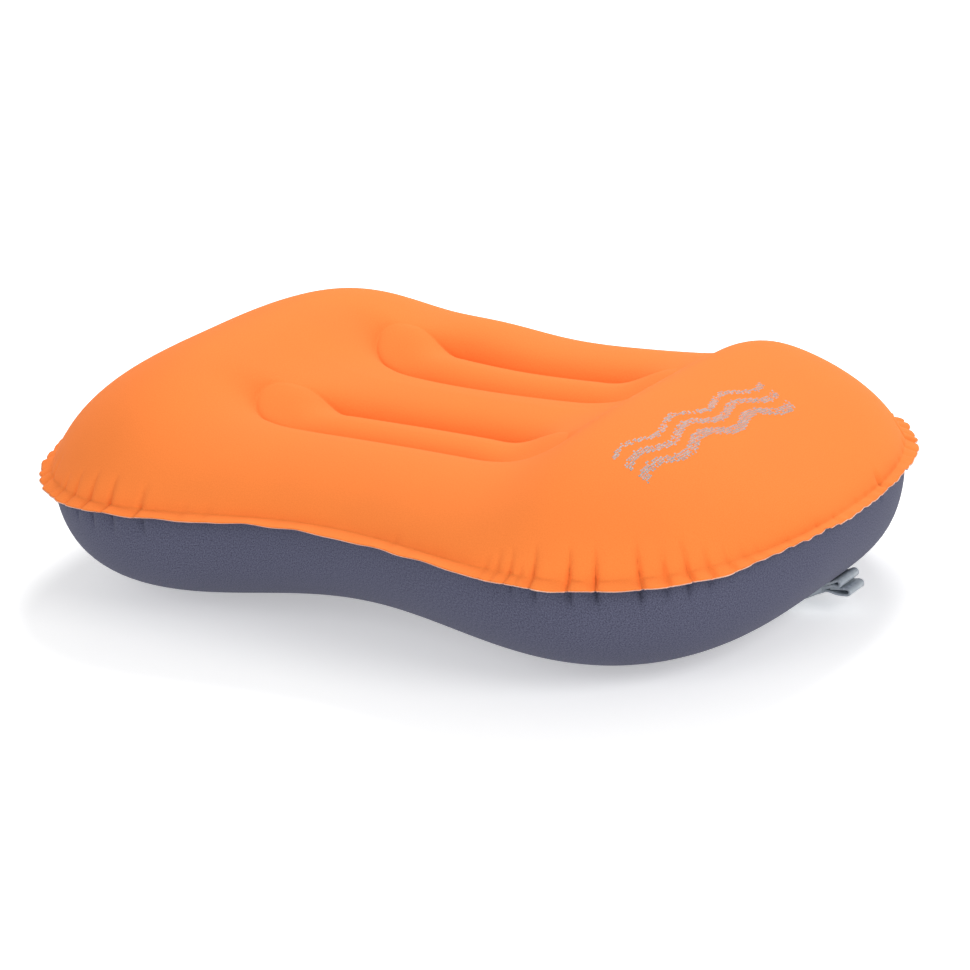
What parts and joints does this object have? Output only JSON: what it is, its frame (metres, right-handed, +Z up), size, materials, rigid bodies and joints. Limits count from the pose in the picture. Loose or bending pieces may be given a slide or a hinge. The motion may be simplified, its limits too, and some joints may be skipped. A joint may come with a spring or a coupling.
{
  "type": "inflatable camp pillow",
  "caption": "Inflated waisted camp pillow with a dished head cradle, welded edge flange, internal webs and a flat two-stage valve under one end.",
  "frame": {"origin": "on the ground, under the middle of the pillow's outline", "axes": "+Z up, +X along the pillow's length towards the end with the valve, -Y towards its near long side"},
  "size_m": [0.43, 0.2898, 0.1063],
  "materials": {
    "orange_knit": "matte fine knit face fabric, bright orange, laminated",
    "grey_knit": "matte brushed fine knit face fabric, blue-grey, laminated",
    "film": "thin translucent airtight film lining",
    "web_film": "translucent film web, slightly stiffer than the lining",
    "valve_tpu": "soft translucent grey moulded elastomer, smooth and glossy",
    "membrane_silicone": "thin clear silicone flap"
  },
  "bodies": {
    "pillow": {"top_fabric": "orange_knit", "bottom_fabric": "grey_knit", "top_film": "film", "bottom_film": "film", "front_outer_web": "web_film", "front_inner_web": "web_film", "rear_inner_web": "web_film", "rear_outer_web": "web_film", "valve_base": "valve_tpu", "valve_face": "valve_tpu", "deflate_strap": "valve_tpu"},
    "large_lid": {"deflate_lid": "valve_tpu", "membrane_cage": "valve_tpu", "inflate_strap": "valve_tpu"},
    "small_lid": {"inflate_lid": "valve_tpu"},
    "flap": {"check_membrane": "membrane_silicone"}
  },
  "joints": [
    {"name": "deflate_lid_hinge", "type": "hinge", "parent": "pillow", "child": "large_lid", "pos_m": [0.1904, 0.023, 0.01641], "axis": [0, -1, 0], "range_deg": [0, 110], "deforming": ["deflate_strap"]},
    {"name": "inflate_lid_hinge", "type": "hinge", "parent": "large_lid", "child": "small_lid", "pos_m": [0.19569, 0.023, 0.01263], "axis": [0, -1, 0], "range_deg": [0, 95], "deforming": ["inflate_strap"]},
    {"name": "check_flap_slide", "type": "slide", "parent": "large_lid", "child": "flap", "axis": [-0.3907, 0, 0.9205], "range_m": [0, 0.0009]}
  ]
}
